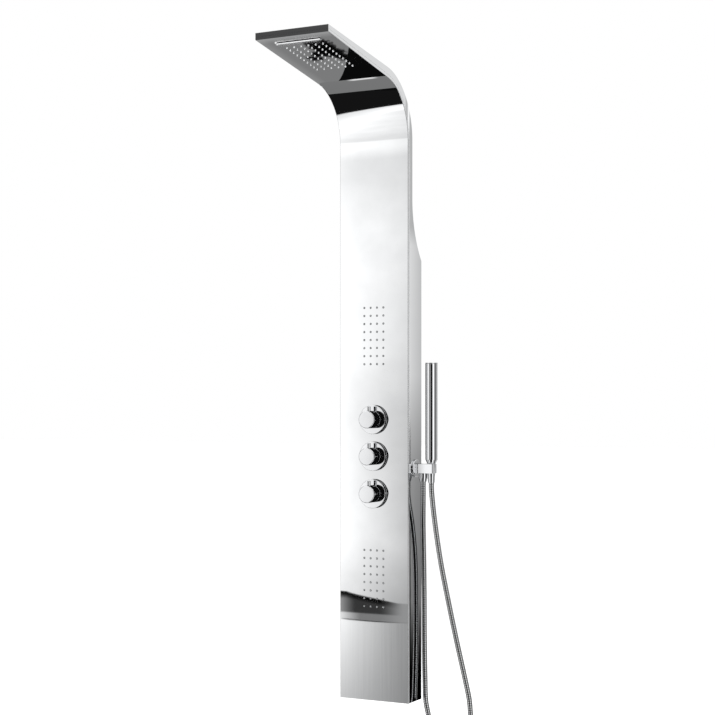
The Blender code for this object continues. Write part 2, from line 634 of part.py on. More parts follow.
def add_hose(panel):
    """The free hose: down from the outlet beside the casing, round a loop and up to the handset."""
    route = [
        (OUTLET_X, HANDSET_Y, 0.5737), (OUTLET_X, HANDSET_Y, 0.550), (0.1205, 0.0480, 0.515),
        (0.1165, 0.0560, 0.470), (0.1135, 0.0645, 0.410), (0.1122, 0.0700, 0.340),
        (0.1122, 0.0720, 0.262), (0.1128, 0.0720, 0.157), (0.1149, 0.0715, 0.052),
        (0.1172, 0.0710, -0.001), (0.1253, 0.0700, -0.039), (0.1380, 0.0690, -0.092),
        (0.1560, 0.0675, -0.1225), (0.1930, 0.0650, -0.1370), (0.2310, 0.0625, -0.1215),
        (0.2475, 0.0610, -0.0920), (0.2510, 0.0600, -0.0560), (0.2499, 0.0590, -0.0257),
        (0.2470, 0.0580, 0.0131), (0.2365, 0.0560, 0.0642), (0.2127, 0.0535, 0.1663),
        (0.1902, 0.0510, 0.2686), (0.1692, 0.0490, 0.3714), (0.1540, 0.0460, 0.4749),
        (0.1484, 0.0445, 0.5268), (HANDSET_X, HANDSET_Y, 0.5560), (HANDSET_X, HANDSET_Y, 0.5717),
    ]
    add_tube("shower_hose", smooth_route(route, HOSE_SPACING), HOSE_RADIUS, "chrome", panel)


# Hanging on the wall

def add_hanger(name, height, panel):
    """A wall bracket with an upright tongue, and the casing's bar that drops over it."""
    wall = CASING_DEPTH
    bracket = [(wall, -0.025), (wall, 0.022), (wall - 0.010, 0.022), (wall - 0.010, 0.038),
               (wall - 0.012, 0.038), (wall - 0.012, 0.020), (wall - 0.002, 0.020), (wall - 0.002, -0.025)]
    plate = prism([(y, height + z) for y, z in bracket], -0.060, 0.060, "X")
    holes = together([disc(0.0025, wall - 0.005, wall + 0.005, "Y", 12, (x, height - 0.008))
                      for x in (-0.045, 0.045)])
    add_part(f"wall_bracket_{name}", without(plate, holes), "zinc", panel)
    bar = [(wall - 0.0055, 0.025), (wall - 0.0055, 0.043), (wall - 0.0160, 0.043),
           (wall - 0.0160, 0.016), (wall - 0.0140, 0.016), (wall - 0.0140, 0.041),
           (wall - 0.0075, 0.041), (wall - 0.0075, 0.025)]
    half = WIDTH / 2 - SHEET - GAP
    add_part(f"hanger_bar_{name}", prism([(y, height + z) for y, z in bar], -half, half, "X"),
             "zinc", panel)


def build():
    for obj in list(bpy.data.objects):
        bpy.data.objects.remove(obj, do_unlink=True)
    panel = add_datum("panel_datum", (0.0, -CASING_DEPTH, -HANG_HEIGHT))
    add_front_panel(panel)
    add_rear_casing(panel)
    add_head_parts(panel)
    add_jets("upper", UPPER_JETS, panel)
    add_jets("lower", LOWER_JETS, panel)
    add_manifold(panel)
    for name, height in STATIONS.items():
        add_valve_station(name, height, panel)
    add_water_pipes(panel)
    add_inlets(panel)
    add_holder(panel)
    hose_end = add_datum("hose_end_axis", (HANDSET_X, HANDSET_Y, 0.0), panel)
    handset = add_datum("handset_axis", (HANDSET_X, HANDSET_Y, 0.0), panel)
    add_hose_ends(panel, hose_end, handset)
    add_handset(handset)
    add_hose(panel)
    add_hanger("upper", HANG_HEIGHT, panel)
    add_hanger("lower", LOWER_BRACKET_HEIGHT, panel)


build()
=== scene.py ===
"""The looks of the rainfall shower column: finely shaped skins over the CAD frame, and their materials.

Every piece is drawn in the panel's own frame, in metres: X to the right, Y from the front face (Y = 0)
to the wall, Z up from the bottom edge. PANEL moves it to the row frame, where the CAD nodes are.
"""

import json
import math

import bmesh
import bpy
import numpy as np
from mathutils import Matrix, Vector

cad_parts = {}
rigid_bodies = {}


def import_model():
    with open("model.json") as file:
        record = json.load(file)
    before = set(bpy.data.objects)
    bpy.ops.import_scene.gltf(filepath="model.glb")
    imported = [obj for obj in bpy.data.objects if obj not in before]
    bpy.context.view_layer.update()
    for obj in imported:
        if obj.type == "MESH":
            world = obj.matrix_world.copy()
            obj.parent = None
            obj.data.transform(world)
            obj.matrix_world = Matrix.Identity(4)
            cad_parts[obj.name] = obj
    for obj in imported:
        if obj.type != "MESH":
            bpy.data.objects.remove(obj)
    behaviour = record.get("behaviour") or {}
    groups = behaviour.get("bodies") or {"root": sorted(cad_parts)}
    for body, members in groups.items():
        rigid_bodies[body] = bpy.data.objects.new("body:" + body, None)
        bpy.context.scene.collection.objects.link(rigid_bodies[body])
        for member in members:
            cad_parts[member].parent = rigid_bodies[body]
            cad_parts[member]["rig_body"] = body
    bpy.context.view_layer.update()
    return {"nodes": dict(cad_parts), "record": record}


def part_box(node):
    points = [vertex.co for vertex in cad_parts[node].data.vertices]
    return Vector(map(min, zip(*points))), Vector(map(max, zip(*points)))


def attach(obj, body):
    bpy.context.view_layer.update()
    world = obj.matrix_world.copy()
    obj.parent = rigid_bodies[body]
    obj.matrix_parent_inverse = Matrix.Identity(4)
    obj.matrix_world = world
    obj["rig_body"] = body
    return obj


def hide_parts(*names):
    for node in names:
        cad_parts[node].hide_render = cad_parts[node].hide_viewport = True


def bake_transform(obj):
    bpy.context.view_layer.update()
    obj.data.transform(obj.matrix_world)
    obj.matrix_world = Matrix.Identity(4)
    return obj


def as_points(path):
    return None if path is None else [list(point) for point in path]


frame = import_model()

# Places read from the frame
FRONT_LOW, FRONT_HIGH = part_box("front_panel")
CASING_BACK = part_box("rear_casing")[1].y
FACE_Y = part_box("diverter_escutcheon")[1].y + 0.0003
PANEL = Matrix.Translation((0.0, FACE_Y, FRONT_LOW.z))
TO_PANEL = PANEL.inverted()
HALF = FRONT_HIGH.x
HEAD_FRONT = FRONT_LOW.y - FACE_Y
CASING_DEPTH = CASING_BACK - FACE_Y
SLOTS = {row["node"]: row["material_slot"] for row in frame["record"]["subparts"]}

# The panel's side view
SLIM_DEPTH = 0.025
NECK_START = 1.462
NECK_RADIUS = 0.142
HEAD_ANGLE_DEGREES = 81
HEAD_ANGLE = math.radians(HEAD_ANGLE_DEGREES)
LIP_TOP = 1.669
STEP_TOP = 1.310
FLARE_RADIUS = 0.252
SHEET = 0.0012
RETURN = 0.0070
CORNER = 0.0013
GAP = 0.0003

# Nozzles: columns, rows and their pitches. The spout is the waterfall's lip.
RAIN = (6, 10, 0.020, 0.0171)
RAIN_CENTRE = 0.1428
JETS = (4, 8, 0.0186, 0.0211)
HOLE_RADIUS = 0.0025
JET_SCALE = 1.2
SPOUT_CENTRE = 0.0354
SPOUT_LENGTH = 0.122
SPOUT_WIDTH = 0.0074
SPOUT_CORNER = 0.0020
SPOUT_PROUD = 0.0030
SPOUT_SLOPE = 0.0014
SPOUT_SLIT = 0.0004

# Valves: the hole in the sheet, and a knob's chamfer, hollow back and bore for its spindle
VALVES = ("diverter", "flow", "temperature")
VALVE_HOLE = 0.0190
KNOB_CHAMFER = 0.0012
KNOB_HOLLOW = 0.0185
KNOB_HOLLOW_DEPTH = 0.0080
KNOB_BORE = 0.0043
KNOB_BORE_END = 0.0110

# The hand shower's holder, cones and tube
HOLDER_UNDERSIDE = 0.0120
HOLDER_END = 0.0115
HOLDER_CORNERS = (0.004, 0.010)
HOLDER_MOUTH = 0.0078
NIPPLE = 0.0095
CONE_BORE = 0.0078
CONE_THREAD = 0.0098
HANDSET_TAIL = 0.0094
HANDSET_SHOULDER = (0.0112, 0.6218, 0.6320)
HANDSET_BORE = 0.0135
SPRAY_WINDOW = (0.7650, 0.8680)
SPRAY_TURN = 135

# The hose: a rib is a groove and a nearly flat top, given as parts of the groove's depth, ring by ring
HOSE_RADIUS = 0.0070
HOSE_SIDES = 18
RIB_PITCH = 0.0059
RIB_DEPTH = 0.0011
RIB_PROFILE = (1.0, 0.06, 0.015, 0.0, 0.0, 0.0, 0.0, 0.015, 0.06)
RIB_RINGS = len(RIB_PROFILE)

# The camera
CAMERA_PLACE = (1.869, -3.758, -0.289)
CAMERA_TURN = math.radians(27.53)
CAMERA_LENS = 79.3
CAMERA_RISE = 0.0627
FLOOR_HEIGHT = -1.62


# Shader graphs

class Graph:
    """Short ways to build a node tree."""

    def __init__(self, tree):
        self.tree = tree
        tree.nodes.clear()

    def add(self, kind, inputs=None, **settings):
        node = self.tree.nodes.new("ShaderNode" + kind)
        for key, value in settings.items():
            setattr(node, key, value)
        for key, value in (inputs or {}).items():
            self.set(node.inputs[key], value)
        return node

    def set(self, socket, value):
        if isinstance(value, bpy.types.NodeSocket):
            self.tree.links.new(value, socket)
        elif isinstance(value, tuple) and len(value) == 3 and len(socket.default_value) == 4:
            socket.default_value = (*value, 1.0)
        else:
            socket.default_value = value

    def math(self, operation, *values, clamp=False):
        node = self.add("Math", dict(enumerate(values)), operation=operation, use_clamp=clamp)
        return node.outputs[0]

    def remap(self, value, low, high, to_low=0.0, to_high=1.0, smooth=False):
        node = self.add("MapRange", {"Value": value, "From Min": low, "From Max": high,
                                     "To Min": to_low, "To Max": to_high},
                        interpolation_type="SMOOTHSTEP" if smooth else "LINEAR")
        return node.outputs[0]

    def mix(self, factor, a, b):
        node = self.add("Mix", data_type="FLOAT")
        for socket, value in zip((node.inputs[0], node.inputs[2], node.inputs[3]), (factor, a, b)):
            self.set(socket, value)
        return node.outputs[0]

    def mix_colour(self, factor, a, b):
        node = self.add("Mix", data_type="RGBA")
        for socket, value in zip((node.inputs[0], node.inputs[6], node.inputs[7]), (factor, a, b)):
            self.set(socket, value)
        return node.outputs[2]

    def stretched(self, vector, scale):
        return self.add("Mapping", {"Vector": vector, "Scale": scale}).outputs[0]

    def noise(self, vector, scale, detail=2.0, roughness=0.5):
        node = self.add("TexNoise", {"Vector": vector, "Scale": scale, "Detail": detail,
                                     "Roughness": roughness})
        return node.outputs["Fac"]

    def ramp(self, value, low, high, stops):
        """Straight lines between (place, level) stops."""
        node = self.add("FloatCurve", {"Value": self.remap(value, low, high)})
        curve = node.mapping.curves[0]
        node.mapping.use_clip = False
        stops = sorted(stops)
        places = [((place - low) / (high - low), level) for place, level in stops]
        curve.points[0].location = places[0]
        curve.points[1].location = places[-1]
        for place in places[1:-1]:
            curve.points.new(*place)
        for point in curve.points:
            point.handle_type = "VECTOR"
        node.mapping.update()
        return node.outputs[0]

    def both(self, a, b):
        return self.math("MULTIPLY", a, b)

    def point(self, across, along):
        return self.add("CombineXYZ", {0: across, 1: along}).outputs[0]

    def reflected_twice(self):
        """1 for a ray that a mirror has turned twice or more, or else 0."""
        return self.math("GREATER_THAN", self.add("LightPath").outputs["Glossy Depth"], 1.5)

    def window(self, value, low, high, soft):
        """1 between low and high, falling to 0 over soft on each side."""
        rise = self.remap(value, low - soft, low + soft, smooth=True)
        fall = self.remap(value, high - soft, high + soft, 1.0, 0.0, smooth=True)
        return self.both(rise, fall)


def new_material(name):
    """A material with its graph, its Principled shader and the coordinates of places on the object."""
    material = bpy.data.materials.new(name)
    material.use_nodes = True
    graph = Graph(material.node_tree)
    shader = graph.add("BsdfPrincipled")
    graph.add("OutputMaterial", {"Surface": shader.outputs[0]})
    return material, graph, shader, graph.add("TexCoord").outputs["Object"]


def add_object(name, data):
    """A new object in the scene."""
    obj = bpy.data.objects.new(name, data)
    bpy.context.scene.collection.objects.link(obj)
    return obj


# Studio: camera, light and floor

def make_camera():
    """The camera, level and turned towards the panel, at the photograph's viewing angle."""
    data = bpy.data.cameras.new("camera")
    data.lens = CAMERA_LENS
    data.sensor_width = 36.0
    data.shift_y = CAMERA_RISE
    camera = add_object("camera", data)
    camera.location = CAMERA_PLACE
    camera.rotation_euler = (math.radians(90), 0.0, CAMERA_TURN)
    bpy.context.scene.camera = camera


# The studio all round, as seen in the polished metal. Each zone has an azimuth range from -Y towards +X,
# an elevation range, a brightness and a softness, in degrees. Later zones cover earlier ones.
STUDIO = [
    ("grey left side", (-200, -75), (-95, 95), 0.24, 3.0),
    ("pale left corner", (-75, -41), (-95, 95), 0.50, 5.0),
    ("white front left", (-41, -19), (-95, 95), 1.05, 1.5),
    ("dark camera end", (-19, 46), (-95, 24), 0.020, 2.0),
    ("pale gap ahead", (-3.4, 3.4), (-15, 15), 0.80, 0.6),
    ("white right box", (46, 74), (-95, 95), 1.20, 2.0),
    ("pale right corner", (74, 100), (-95, 95), 0.34, 6.0),
    ("dark right flag", (100, 146), (-95, 95), 0.13, 6.0),
    ("grey back right", (146, 200), (-95, 95), 0.62, 3.0),
    ("ceiling", (-200, 200), (36, 95), 1.05, 6.0),
    ("white low left", (-64, -19), (-95, -30), 1.00, 4.0),
    ("dark front top", (-60, -9), (11.4, 19), 0.075, 0.5),
]
# A black mat on the left, above the line MAT_EDGE - MAT_SLOPE x azimuth
MAT_SLOPE = 1.6
MAT_EDGE = 20.9
MAT_SIDES = (-132, -37)
MAT_RISE = (-95, -39)
MAT_LEVEL = 0.008
# What is left of the studio after two reflections: elevations and brightnesses, between two azimuths
SECOND_SIDES = (-132, 58)
SECOND_LOOK = [(-90, 0.02), (-80, 0.004), (28, 0.004), (40, 0.6), (90, 0.8)]

# The wall in front of the panel, as mirrored by its face: panel heights and the brightness seen there.
# It tilts from the left edge of the face to the right one, more so towards the floor.
FRONT_WALL = [(1.75, 0.93), (1.45, 1.00), (1.42, 0.90), (1.36, 0.91), (1.24, 0.97), (0.92, 0.96),
              (0.75, 0.89), (0.42, 0.91), (0.285, 0.80)]
WALL_TILT = (0.05, 0.14)
WALL_TILT_HEIGHTS = (1.30, 0.60)
# A card's levels are as the eye sees them, so they are raised to a power and divided by the steel's own tone
DISPLAY_GAMMA = 2.2
STEEL_TONE = 0.83
CARD_SECOND_LOOK = 0.004
# The dark step near the floor: its top at the left and right, the height where it turns pale, and its foot
BAND_TOP = (0.2815, 0.2585)
BAND_STEP = 0.2285
BAND_FOOT = 0.2090
# The same for the wall beyond the right side, and for the strip at its front edge
SIDE_WALL = [(1.60, 0.69), (1.24, 0.70), (1.19, 0.84), (0.85, 0.82), (0.60, 0.58), (0.26, 0.47), (0.10, 0.08)]
SIDE_EDGE = [(-0.1, 0.03), (0.11, 0.05), (0.26, 0.14), (0.42, 0.45), (0.62, 0.92), (1.6, 0.97)]
SIDE_LINE = (0.0060, 0.0138)
# Dark shapes on the wall behind that the head's underside mirrors: left, right, near and far edges
HEAD_SHADES = ((0.004, 0.072, 0.044, 0.126), (0.038, 0.074, 0.115, 0.185),
               (-0.036, -0.006, 0.130, 0.162), (-0.010, 0.044, 0.110, 0.150))


def make_world():
    """The studio as the metal mirrors it. The camera itself sees plain white."""
    world = bpy.data.worlds.new("studio")
    bpy.context.scene.world = world
    world.use_nodes = True
    graph = Graph(world.node_tree)
    direction = graph.add("TexCoord").outputs["Generated"]
    axes = graph.add("SeparateXYZ", {0: direction})
    degrees = 180 / math.pi
    away = graph.both(axes.outputs[1], -1.0)
    azimuth = graph.both(graph.math("ARCTAN2", axes.outputs[0], away), degrees)
    elevation = graph.both(graph.math("ARCSINE", axes.outputs[2]), degrees)
    level = 0.5
    for _, (left, right), (low, high), brightness, soft in STUDIO:
        zone = graph.both(graph.window(azimuth, left, right, soft), graph.window(elevation, low, high, soft))
        level = graph.mix(zone, level, brightness)
    turn = graph.both(graph.math("ABSOLUTE", azimuth), -MAT_SLOPE)
    beyond = graph.remap(graph.math("SUBTRACT", elevation, graph.math("ADD", turn, MAT_EDGE)), -0.5, 0.5)
    reach = graph.both(graph.window(azimuth, *MAT_SIDES, 1.0), graph.window(elevation, *MAT_RISE, 0.8))
    level = graph.mix(graph.both(beyond, reach), level, MAT_LEVEL)
    second = graph.ramp(elevation, -90, 90, SECOND_LOOK)
    twice = graph.both(graph.reflected_twice(), graph.window(azimuth, *SECOND_SIDES, 3.0))
    level = graph.mix(twice, level, second)
    seen = graph.add("Background", {"Color": (1.0, 1.0, 1.0), "Strength": 1.0}).outputs[0]
    lighting = graph.add("Background", {"Color": (1.0, 1.0, 1.0), "Strength": level}).outputs[0]
    camera_ray = graph.add("LightPath").outputs["Is Camera Ray"]
    either = graph.add("MixShader", {0: camera_ray, 1: lighting, 2: seen})
    graph.add("OutputWorld", {"Surface": either.outputs[0]})


def add_card(name, mesh, level_of, fade=None):
    """A glowing card that only reflections see. level_of gives its brightness from its own coordinates.

    fade is two (edge, reach) pairs: where the card's left and right edges are, and how far they fade out.
    """
    card = add_object(name, mesh)
    material = bpy.data.materials.new(name)
    material.use_nodes = True
    graph = Graph(material.node_tree)
    place = graph.add("SeparateXYZ", {0: graph.add("TexCoord").outputs["Object"]}).outputs
    surface = graph.add("Emission", {"Color": (1.0, 1.0, 1.0), "Strength": level_of(graph, place)}).outputs[0]
    if fade:
        left, right = (graph.remap(place[0], edge, edge + reach, smooth=True) for edge, reach in fade)
        clear = graph.add("BsdfTransparent").outputs[0]
        surface = graph.add("MixShader", {0: graph.both(left, right), 1: clear, 2: surface}).outputs[0]
    graph.add("OutputMaterial", {"Surface": surface})
    mesh.materials.append(material)
    card.visible_camera = False
    card.visible_diffuse = False
    card.visible_shadow = False
    return card


def flat_mesh(name, middle, half_size):
    """A rectangle in the XY plane."""
    bm = bmesh.new()
    bmesh.ops.create_grid(bm, x_segments=1, y_segments=1, size=1.0)
    bmesh.ops.scale(bm, verts=bm.verts, vec=(*half_size, 1.0))
    bmesh.ops.translate(bm, verts=bm.verts, vec=(*middle, 0.0))
    mesh = bpy.data.meshes.new(name)
    bm.to_mesh(mesh)
    bm.free()
    return mesh


def mirror_card(name, plane, middle, half_size, stretch, pattern, fades=None):
    """A glowing card that a flat mirror shows in full to the camera.

    plane is the mirror's frame: its X and Y axes lie in the mirror. The card is the mirror's own outline
    seen from the camera's mirror image and pushed further away by stretch, so that object coordinates on
    the card are the mirror's own, where the card appears. fades is how far the card's left and right edges
    fade out, towards the studio beyond.
    """
    def level_of(graph, place):
        level = graph.math("POWER", pattern(graph, place[0], place[1]), DISPLAY_GAMMA)
        level = graph.math("DIVIDE", level, STEEL_TONE)
        return graph.mix(graph.reflected_twice(), level, CARD_SECOND_LOOK)

    edges = fades and ((middle[0] - half_size[0], fades[0]), (middle[0] + half_size[0], -fades[1]))
    card = add_card(name, flat_mesh(name, middle, half_size), level_of, edges)
    camera = plane.inverted() @ Vector(CAMERA_PLACE)
    image = Vector((camera.x, camera.y, -camera.z))
    card.matrix_world = (plane @ Matrix.Translation(image) @ Matrix.Scale(stretch, 4)
                         @ Matrix.Translation(-image))


def front_pattern(graph, across, height):
    """The studio in front: pale above, a dark step near the floor, and the floor's streaked glow."""
    share = graph.remap(across, -0.1, 0.1)
    tilt = graph.remap(height, *WALL_TILT_HEIGHTS, *WALL_TILT)
    aside = graph.remap(share, 0.0, 1.0, 1.0, -1.0)
    wall = graph.math("ADD", graph.ramp(height, -0.02, 1.75, FRONT_WALL), graph.both(tilt, aside))
    cloud = graph.noise(graph.point(across, height), 14.0, 3.0)
    wall = graph.math("ADD", wall, graph.remap(cloud, 0.3, 0.7, -0.015, 0.015))

    bend = graph.math("POWER", graph.remap(share, 0.1, 0.85), 0.8)
    inside = graph.math("SUBTRACT", graph.mix(bend, *BAND_TOP), height)
    fade = graph.remap(share, 0.55, 0.95, 0.0, 1.0, smooth=True)
    band = graph.mix(graph.remap(inside, 0.006, 0.016), 0.06, 0.22)
    left = graph.remap(share, 0.0, 0.22, 0.36, 0.0)
    band = graph.math("ADD", band, graph.both(left, graph.remap(inside, 0.004, 0.02)))
    band = graph.mix(fade, band, 0.56)
    step = graph.mix(graph.remap(share, 0.0, 0.3), 0.90, 0.47)
    step = graph.mix(fade, step, 0.56)
    band = graph.mix(graph.remap(height, BAND_STEP + 0.001, BAND_STEP - 0.004, smooth=True), band, step)
    whole = graph.mix(graph.remap(inside, -0.0015, 0.0015), wall, band)

    streak = graph.noise(graph.point(graph.both(across, 420.0), graph.both(height, 3.0)), 1.0, 3.0)
    near = graph.mix(graph.remap(share, 0.02, 0.92), 0.97, 0.59)
    far = graph.mix(graph.remap(share, 0.0, 1.0), 0.78, 0.53)
    floor = graph.mix(graph.remap(height, BAND_FOOT, 0.01), near, far)
    floor = graph.math("ADD", floor, graph.remap(streak, 0.3, 0.7, -0.022, 0.022))
    sag = graph.both(graph.math("SINE", graph.both(share, 3.1)), -0.002)
    above = graph.math("SUBTRACT", height, graph.math("ADD", BAND_FOOT, sag))
    whole = graph.mix(graph.remap(above, 0.001, -0.001), whole, floor)
    line = graph.both(graph.window(above, -0.0012, 0.0014, 0.0009), graph.remap(share, 0.0, 0.12))
    whole = graph.mix(graph.both(line, graph.remap(share, 0.5, 0.9, 0.8, 0.1)), whole, 0.12)
    beyond = graph.both(graph.remap(across, -0.104, -0.112), graph.remap(height, 0.36, 0.33))
    return graph.mix(beyond, whole, 0.94)


def side_pattern(graph, across, height):
    """The studio beyond the right side, darker towards the floor and towards the wall."""
    level = graph.ramp(height, -0.1, 1.60, SIDE_WALL)
    level = graph.both(level, graph.remap(across, 0.01, 0.08, 1.0, 0.88))
    level = graph.mix(graph.remap(across, -0.010, -0.020), level, 0.84)
    line = graph.both(graph.window(across, *SIDE_LINE, 0.0003), graph.remap(height, 0.74, 0.56, 0.0, 0.97))
    level = graph.mix(line, level, 0.03)
    edge = graph.both(graph.remap(across, 0.0072, 0.0066), graph.remap(across, -0.004, -0.002))
    return graph.mix(edge, level, graph.ramp(height, -0.1, 1.60, SIDE_EDGE))


def head_pattern(graph, across, along):
    """The wall behind, mirrored by the head's underside, with the dark shapes of the fittings on it."""
    wobble = graph.remap(graph.noise(graph.point(across, along), 55.0, 3.0, 0.6), 0.3, 0.7, -0.011, 0.011)
    level = graph.mix(graph.remap(across, -0.1, -0.07), 0.54, 0.47)
    level = graph.mix(graph.remap(along, 0.0, 0.03), 0.60, level)
    x = graph.math("ADD", across, wobble)
    y = graph.math("ADD", along, graph.both(wobble, 1.6))
    for left, right, near, far in HEAD_SHADES:
        level = graph.mix(graph.both(graph.window(x, left, right, 0.003), graph.window(y, near, far, 0.004)),
                          level, 0.05)
    bar = graph.both(graph.window(across, -0.063, 0.061, 0.001), graph.window(along, 0.026, 0.040, 0.0006))
    return graph.mix(bar, level, 1.1)


def make_painted_neck_reflection():
    """A painted reflection and highlight: a glowing card 3 mm in front of the neck, close under its top. The
    neck mirrors it as a grey strip with a bright line where the head's flat underside ends.
    """
    bm = bmesh.new()
    radius = NECK_RADIUS - 0.003
    first, steps = 58, 12
    rows = []
    for k in range(steps + 1):
        t = math.radians(first + (HEAD_ANGLE_DEGREES - first) * k / steps)
        y, z = -NECK_RADIUS + radius * math.cos(t), NECK_START + radius * math.sin(t)
        rows.append([bm.verts.new(PANEL @ Vector((x, y, z))) for x in (-HALF, HALF)])
    for a, b in zip(rows, rows[1:]):
        bm.faces.new((a[0], a[1], b[1], b[0]))

    def level_of(graph, place):
        top = (PANEL @ Vector((0.0, 0.0, NECK_START + radius * math.sin(HEAD_ANGLE)))).z
        # painted highlight: the bright line along the top, over the painted grey reflection
        line = graph.remap(place[2], top - 0.0022, top - 0.0012)
        return graph.mix(graph.both(line, graph.window(place[0], -0.01, 0.062, 0.012)), 0.21, 0.9)

    add_card("painted_neck_reflection", mesh_from(bm), level_of)


def make_holder_card():
    """A pale card to the right of the camera, seen only by way of the side wall and the holder."""
    mesh = box((0.775, -1.501, -0.64), (0.96, -1.499, -0.38))
    add_card("holder_card", mesh, lambda graph, place: graph.both(graph.reflected_twice(), 0.95))


def make_mirror_cards():
    """What the front face, the right side and the head's underside mirror."""
    to_face = PANEL @ Matrix.Rotation(math.radians(90), 4, "X")
    mirror_card("front_wall_card", to_face, middle=(-0.06, 0.755), half_size=(0.19, 0.775), stretch=1.2,
                pattern=front_pattern, fades=(0.14, 0.028))
    to_side = PANEL @ Matrix.Translation((HALF, 0.0, 0.0)) @ Matrix(
        ((0, 0, 1, 0), (1, 0, 0, 0), (0, 1, 0, 0), (0, 0, 0, 1)))
    mirror_card("side_wall_card", to_side, middle=(-0.19, 0.80), half_size=(0.29, 0.91), stretch=1.35,
                pattern=side_pattern)
    mirror_card("head_card", PANEL @ head_matrix(), middle=(0.0, 0.17), half_size=(0.14, 0.22), stretch=1.3,
                pattern=head_pattern)


def make_floor():
    """A plain pale floor, well below the hanging column."""
    mesh = flat_mesh("floor", (0.0, 0.0), (40.0, 40.0))
    floor = add_object("floor", mesh)
    floor.location = (0.0, 0.0, FLOOR_HEIGHT)
    material, graph, shader, place = new_material("pale_floor")
    speckle = graph.remap(graph.noise(place, 6.0, 4.0), 0.3, 0.7, 0.93, 0.96)
    grey = graph.add("CombineColor", {0: speckle, 1: speckle, 2: speckle}).outputs[0]
    graph.set(shader.inputs["Base Color"], grey)
    graph.set(shader.inputs["Roughness"], 0.9)
    graph.set(shader.inputs["Emission Color"], (1.0, 1.0, 1.0))
    graph.set(shader.inputs["Emission Strength"], 0.35)
    mesh.materials.append(material)
    floor.visible_glossy = False


def make_lights():
    """Soft lights for the rubber and the inside. The polished metal doesn't mirror them."""
    for name, place, size, power in (
            ("key", (-1.6, -3.0, 1.8), 2.0, 60.0),
            ("fill", (2.4, -1.5, 1.2), 2.0, 40.0),
            ("back", (0.5, 3.0, 1.6), 2.5, 50.0)):
        data = bpy.data.lights.new(name, "AREA")
        data.size = size
        data.energy = power
        light = add_object(name, data)
        light.location = place
        towards = Vector((0.0, -0.1, -0.4)) - Vector(place)
        light.rotation_euler = towards.to_track_quat("-Z", "Y").to_euler()
        light.visible_glossy = False


# Materials

def finish_surface(graph, shader, colour, roughness, metallic=1.0):
    """Colour, roughness and metal of a surface."""
    graph.set(shader.inputs["Base Color"], colour)
    graph.set(shader.inputs["Metallic"], metallic)
    graph.set(shader.inputs["Roughness"], roughness)


def add_relief(graph, shader, height, strength, distance):
    """Fine relief from a height, on top of what relief the surface already has."""
    bump = graph.add("Bump", {"Height": height, "Strength": strength, "Distance": distance})
    if shader.inputs["Normal"].is_linked:
        graph.set(bump.inputs["Normal"], shader.inputs["Normal"].links[0].from_socket)
    graph.set(shader.inputs["Normal"], bump.outputs[0])


def polished_steel(name, satin_from=None, haze=1.0):
    """Mirror-polished sheet: faint waves, finger smudges and hairline marks, satin on the folded returns."""
    material, graph, shader, place = new_material(name)
    smudge = graph.noise(place, 9.0, 5.0, 0.6)
    hairs = graph.noise(graph.stretched(place, (900.0, 900.0, 14.0)), 1.0, 2.0)
    roughness = graph.remap(smudge, 0.35, 0.75, 0.012, 0.035)
    roughness = graph.math("ADD", roughness, graph.remap(hairs, 0.5, 0.8, 0.0, 0.015))
    roughness = graph.both(roughness, haze)
    if satin_from is not None:
        depth = graph.add("SeparateXYZ", {0: place}).outputs[1]
        folded = graph.remap(depth, satin_from, satin_from + 0.0006)
        roughness = graph.mix(folded, roughness, 0.32)
    tone = graph.mix_colour(smudge, (0.80, 0.81, 0.82), (0.86, 0.865, 0.87))
    finish_surface(graph, shader, tone, roughness)
    waves = graph.noise(graph.stretched(place, (1.0, 1.0, 0.5)), 7.0, 1.0)
    add_relief(graph, shader, waves, 1.0, 0.00008)
    add_relief(graph, shader, hairs, 0.06, 0.00002)
    return material


def chrome(name):
    """Plated brass: a deep mirror with polishing marks and water spots."""
    material, graph, shader, place = new_material(name)
    marks = graph.noise(place, 60.0, 4.0, 0.6)
    spots = graph.add("TexVoronoi", {"Vector": place, "Scale": 260.0}, feature="F1").outputs["Distance"]
    dried = graph.remap(spots, 0.06, 0.10, 1.0, 0.0)
    roughness = graph.math("ADD", graph.remap(marks, 0.3, 0.8, 0.02, 0.07), graph.both(dried, 0.05))
    tone = graph.mix_colour(marks, (0.84, 0.85, 0.87), (0.90, 0.905, 0.91))
    finish_surface(graph, shader, tone, roughness)
    add_relief(graph, shader, marks, 0.15, 0.00003)
    return material


def raw_metal(name, light, dark, roughness, scale, stretch=(1.0, 1.0, 1.0), depth=0.0001):
    """Unplated metal: mottled tone, tool marks along one way and dull patches."""
    material, graph, shader, place = new_material(name)
    mottle = graph.noise(place, scale, 5.0, 0.65)
    tooling = graph.noise(graph.stretched(place, stretch), 600.0, 2.0)
    rough = graph.remap(mottle, 0.3, 0.7, roughness + 0.12, roughness)
    rough = graph.math("ADD", rough, graph.remap(tooling, 0.3, 0.8, 0.0, 0.1))
    finish_surface(graph, shader, graph.mix_colour(graph.remap(mottle, 0.3, 0.7), dark, light), rough)
    add_relief(graph, shader, tooling, 0.35, depth)
    return material


def moulded(name, light, dark, roughness, scale=900.0):
    """Moulded plastic or rubber: a fine spark-eroded grain and faint flow marks."""
    material, graph, shader, place = new_material(name)
    grain = graph.noise(place, scale, 3.0)
    flow = graph.noise(place, 25.0, 3.0)
    rough = graph.remap(grain, 0.3, 0.7, roughness, roughness + 0.12)
    finish_surface(graph, shader, graph.mix_colour(graph.remap(flow, 0.3, 0.7), dark, light), rough, 0.0)
    add_relief(graph, shader, grain, 0.25, 0.00005)
    return material


# Meshes

def mesh_from(bm):
    """The bmesh as a mesh with its faces turned outwards."""
    bmesh.ops.recalc_face_normals(bm, faces=bm.faces)
    mesh = bpy.data.meshes.new("shape")
    bm.to_mesh(mesh)
    bm.free()
    return mesh


def axis_point(along, a, b, c):
    """The point at (a, b) across the axis and c along it."""
    return {"X": (c, a, b), "Y": (a, c, b), "Z": (a, b, c)}[along]


